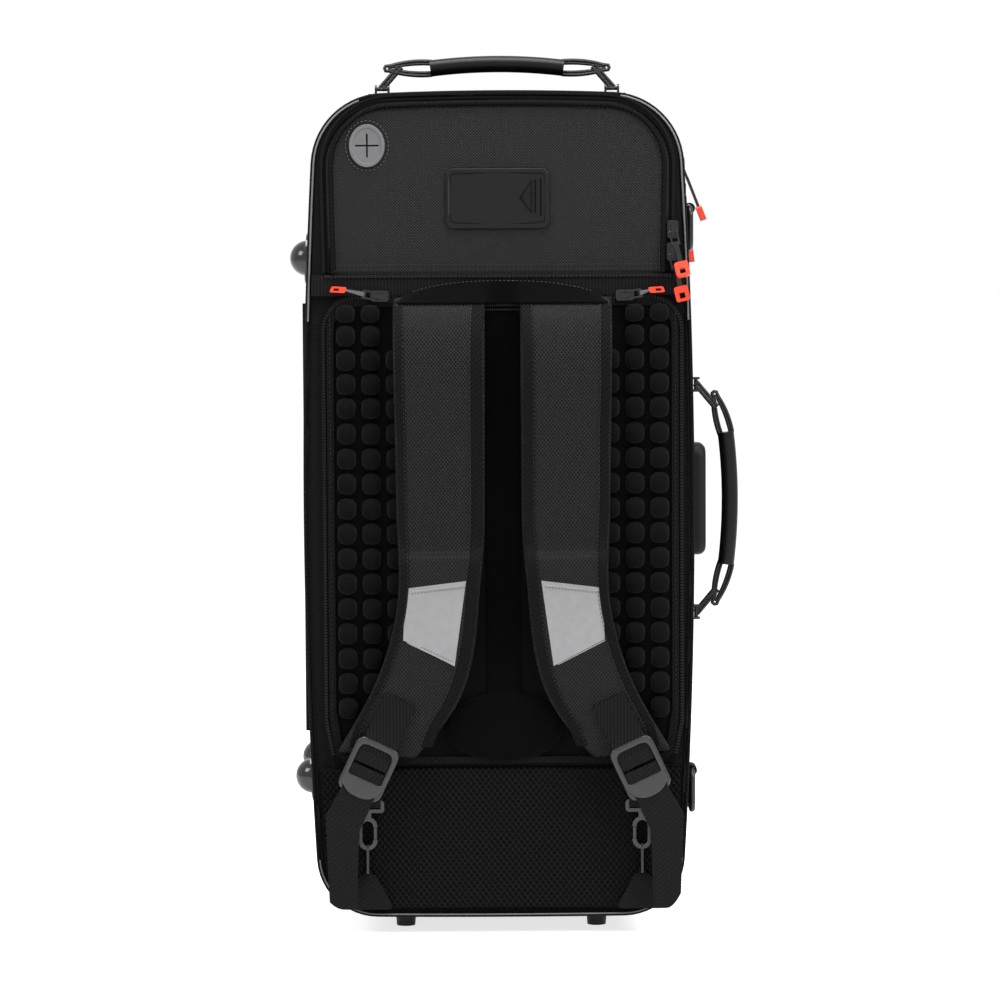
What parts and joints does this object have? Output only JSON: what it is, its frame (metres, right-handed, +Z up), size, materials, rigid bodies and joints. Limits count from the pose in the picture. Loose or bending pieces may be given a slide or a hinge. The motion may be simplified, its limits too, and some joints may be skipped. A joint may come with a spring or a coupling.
{
  "type": "trumpet backpack case",
  "caption": "Upright padded trumpet case worn as a backpack, with a hinged lid, top pocket, zipped harness cover, shoulder straps, carrying handles and feet.",
  "frame": {"origin": "on the floor under the case, midway between its sides, 45 mm in front of the handles' axes", "axes": "+X to the right as seen from the harness side, +Y away from the harness towards the lid, +Z up to the top handle"},
  "size_m": [0.3267, 0.2326, 0.6354],
  "materials": {
    "moulded_frame": "satin",
    "ballistic_nylon": "woven",
    "ribbed_webbing": "ribbed",
    "plush": "plush",
    "foam": "flocked",
    "air_mesh": "mesh",
    "coil_zip": "satin",
    "rubber": "matte",
    "leather": "grained",
    "acetal": "satin",
    "gloss_black": "gloss",
    "reflective": "reflective",
    "steel_wire": "polished",
    "black_metal": "satin",
    "pull_tip": "matte"
  },
  "bodies": {
    "back": {"back_frame": "moulded_frame", "back_gusset": "ballistic_nylon", "back_lining": "plush", "foam_bed": "foam", "neck_strap": "ribbed_webbing", "main_zip_back": "coil_zip", "spine_leaf_back": "ballistic_nylon", "pocket_zip_frame": "coil_zip", "yoke_band": "ribbed_webbing", "back_cover": "ballistic_nylon", "cover_zips": "coil_zip", "bump_pads": "plush", "spine_pad": "plush", "lower_mesh_panel": "air_mesh", "strap_right": "air_mesh", "strap_left": "air_mesh", "reflectors": "reflective", "ladder_locks": "acetal", "strap_tabs": "ribbed_webbing", "harness_webbing": "ribbed_webbing", "snap_hooks": "acetal", "corner_rings": "black_metal", "corner_tabs": "ribbed_webbing", "handle_anchors": "black_metal", "hand_pad": "leather", "ring_tabs": "ribbed_webbing", "side_feet_back": "gloss_black", "bottom_feet_back": "rubber"},
    "lid": {"lid_frame": "moulded_frame", "lid_gusset": "ballistic_nylon", "lid_lining": "plush", "main_zip_lid": "coil_zip", "spine_leaf_lid": "ballistic_nylon", "side_feet_lid": "gloss_black", "bottom_feet_lid": "rubber", "front_pocket": "ballistic_nylon"},
    "pocket_door": {"pocket_door": "ballistic_nylon", "pocket_zip_door": "coil_zip", "id_tag": "leather", "earphone_port": "rubber"},
    "top_handle": {"top_handle_grip": "rubber", "top_handle_cords": "leather"},
    "side_handle": {"side_handle_grip": "rubber", "side_handle_cords": "leather"},
    "upper_ring": {"upper_ring": "black_metal"},
    "lower_ring": {"lower_ring": "black_metal"},
    "main_slider_upper": {"main_slider_upper": "black_metal"},
    "main_slider_lower": {"main_slider_lower": "black_metal"},
    "main_pull_upper": {"main_pull_upper": "pull_tip"},
    "main_pull_lower": {"main_pull_lower": "pull_tip"},
    "pocket_slider_upper": {"pocket_slider_upper": "black_metal"},
    "pocket_slider_lower": {"pocket_slider_lower": "black_metal"},
    "pocket_pull_upper": {"pocket_pull_upper": "pull_tip"},
    "pocket_pull_lower": {"pocket_pull_lower": "pull_tip"},
    "cover_slider_right": {"cover_slider_right": "black_metal"},
    "cover_slider_left": {"cover_slider_left": "black_metal"},
    "cover_pull_right": {"cover_pull_right": "pull_tip"},
    "cover_pull_left": {"cover_pull_left": "pull_tip"},
    "front_slider": {"front_slider": "black_metal"},
    "front_pull": {"front_pull": "pull_tip"}
  },
  "joints": [
    {"name": "lid_hinge", "type": "hinge", "parent": "back", "child": "lid", "pos_m": [-0.1438, 0.01, 0.295], "axis": [0, 0, 1], "range_deg": [0, 115]},
    {"name": "pocket_door_hinge", "type": "hinge", "parent": "back", "child": "pocket_door", "pos_m": [0, -0.1025, 0.47605], "axis": [1, 0, 0], "range_deg": [0, 80]},
    {"name": "top_handle_swing", "type": "hinge", "parent": "back", "child": "top_handle", "pos_m": [0, -0.045, 0.61155], "axis": [1, 0, 0], "range_deg": [-70, 70]},
    {"name": "side_handle_swing", "type": "hinge", "parent": "back", "child": "side_handle", "pos_m": [0.14434, -0.045, 0.312], "axis": [0, 0, 1], "range_deg": [-55, 55]},
    {"name": "upper_ring_swing", "type": "hinge", "parent": "back", "child": "upper_ring", "pos_m": [0.13969, -0.045, 0.524], "axis": [0, -1, 0], "range_deg": [0, 90]},
    {"name": "lower_ring_swing", "type": "hinge", "parent": "back", "child": "lower_ring", "pos_m": [0.14054, -0.045, 0.112], "axis": [0, -1, 0], "range_deg": [0, 90]},
    {"name": "main_slider_upper_run", "type": "hinge", "parent": "back", "child": "main_slider_upper", "pos_m": [0.081, 0.01, 0.55441], "axis": [0, -1, 0], "range_deg": [0, 80]},
    {"name": "main_slider_lower_run", "type": "hinge", "parent": "back", "child": "main_slider_lower", "pos_m": [-4.21625, 0.01, 0.309], "axis": [0, 1, 0], "range_deg": [0, 5.6]},
    {"name": "main_pull_upper_swing", "type": "hinge", "parent": "main_slider_upper", "child": "main_pull_upper", "pos_m": [0.13731, 0.01, 0.55582], "axis": [0, -1, 0], "range_deg": [0, 120]},
    {"name": "main_pull_lower_swing", "type": "hinge", "parent": "main_slider_lower", "child": "main_pull_lower", "pos_m": [0.13883, 0.01, 0.52742], "axis": [0, -1, 0], "range_deg": [0, 24]},
    {"name": "pocket_slider_upper_run", "type": "slide", "parent": "pocket_door", "child": "pocket_slider_upper", "axis": [0.0164, 0, 0.9999], "range_m": [0, 0.036]},
    {"name": "pocket_slider_lower_run", "type": "slide", "parent": "pocket_door", "child": "pocket_slider_lower", "axis": [0.0164, 0, 0.9999], "range_m": [-0.006, 0]},
    {"name": "pocket_pull_upper_swing", "type": "hinge", "parent": "pocket_slider_upper", "child": "pocket_pull_upper", "pos_m": [0.12524, -0.105, 0.5072], "axis": [-0.9741, 0, -0.226], "range_deg": [0, 110]},
    {"name": "pocket_pull_lower_swing", "type": "hinge", "parent": "pocket_slider_lower", "child": "pocket_pull_lower", "pos_m": [0.12497, -0.105, 0.4912], "axis": [-0.9741, 0, -0.226], "range_deg": [0, 110]},
    {"name": "cover_slider_right_run", "type": "slide", "parent": "back", "child": "cover_slider_right", "axis": [0.9995, 0, 0.0306], "range_m": [0, 0.0045]},
    {"name": "cover_slider_left_run", "type": "slide", "parent": "back", "child": "cover_slider_left", "axis": [-0.9995, 0, 0.0306], "range_m": [0, 0.01]},
    {"name": "cover_pull_right_swing", "type": "hinge", "parent": "cover_slider_right", "child": "cover_pull_right", "pos_m": [0.0926, -0.106, 0.46229], "axis": [0.1522, 0, -0.9884], "range_deg": [0, 95]},
    {"name": "cover_pull_left_swing", "type": "hinge", "parent": "cover_slider_left", "child": "cover_pull_left", "pos_m": [-0.0866, -0.106, 0.46229], "axis": [0.1522, 0, 0.9884], "range_deg": [0, 95]},
    {"name": "front_slider_run", "type": "slide", "parent": "lid", "child": "front_slider", "axis": [-1, 0, 0], "range_m": [0, 0.14]},
    {"name": "front_pull_swing", "type": "hinge", "parent": "front_slider", "child": "front_pull", "pos_m": [0.0682, 0.1023, 0.385], "axis": [0, 0, -1], "range_deg": [0, 150]}
  ],
  "couplings": [
    {"joint": "pocket_pull_upper_swing", "follows": "pocket_door_hinge", "ratio": 1},
    {"joint": "pocket_pull_lower_swing", "follows": "pocket_door_hinge", "ratio": 1}
  ]
}
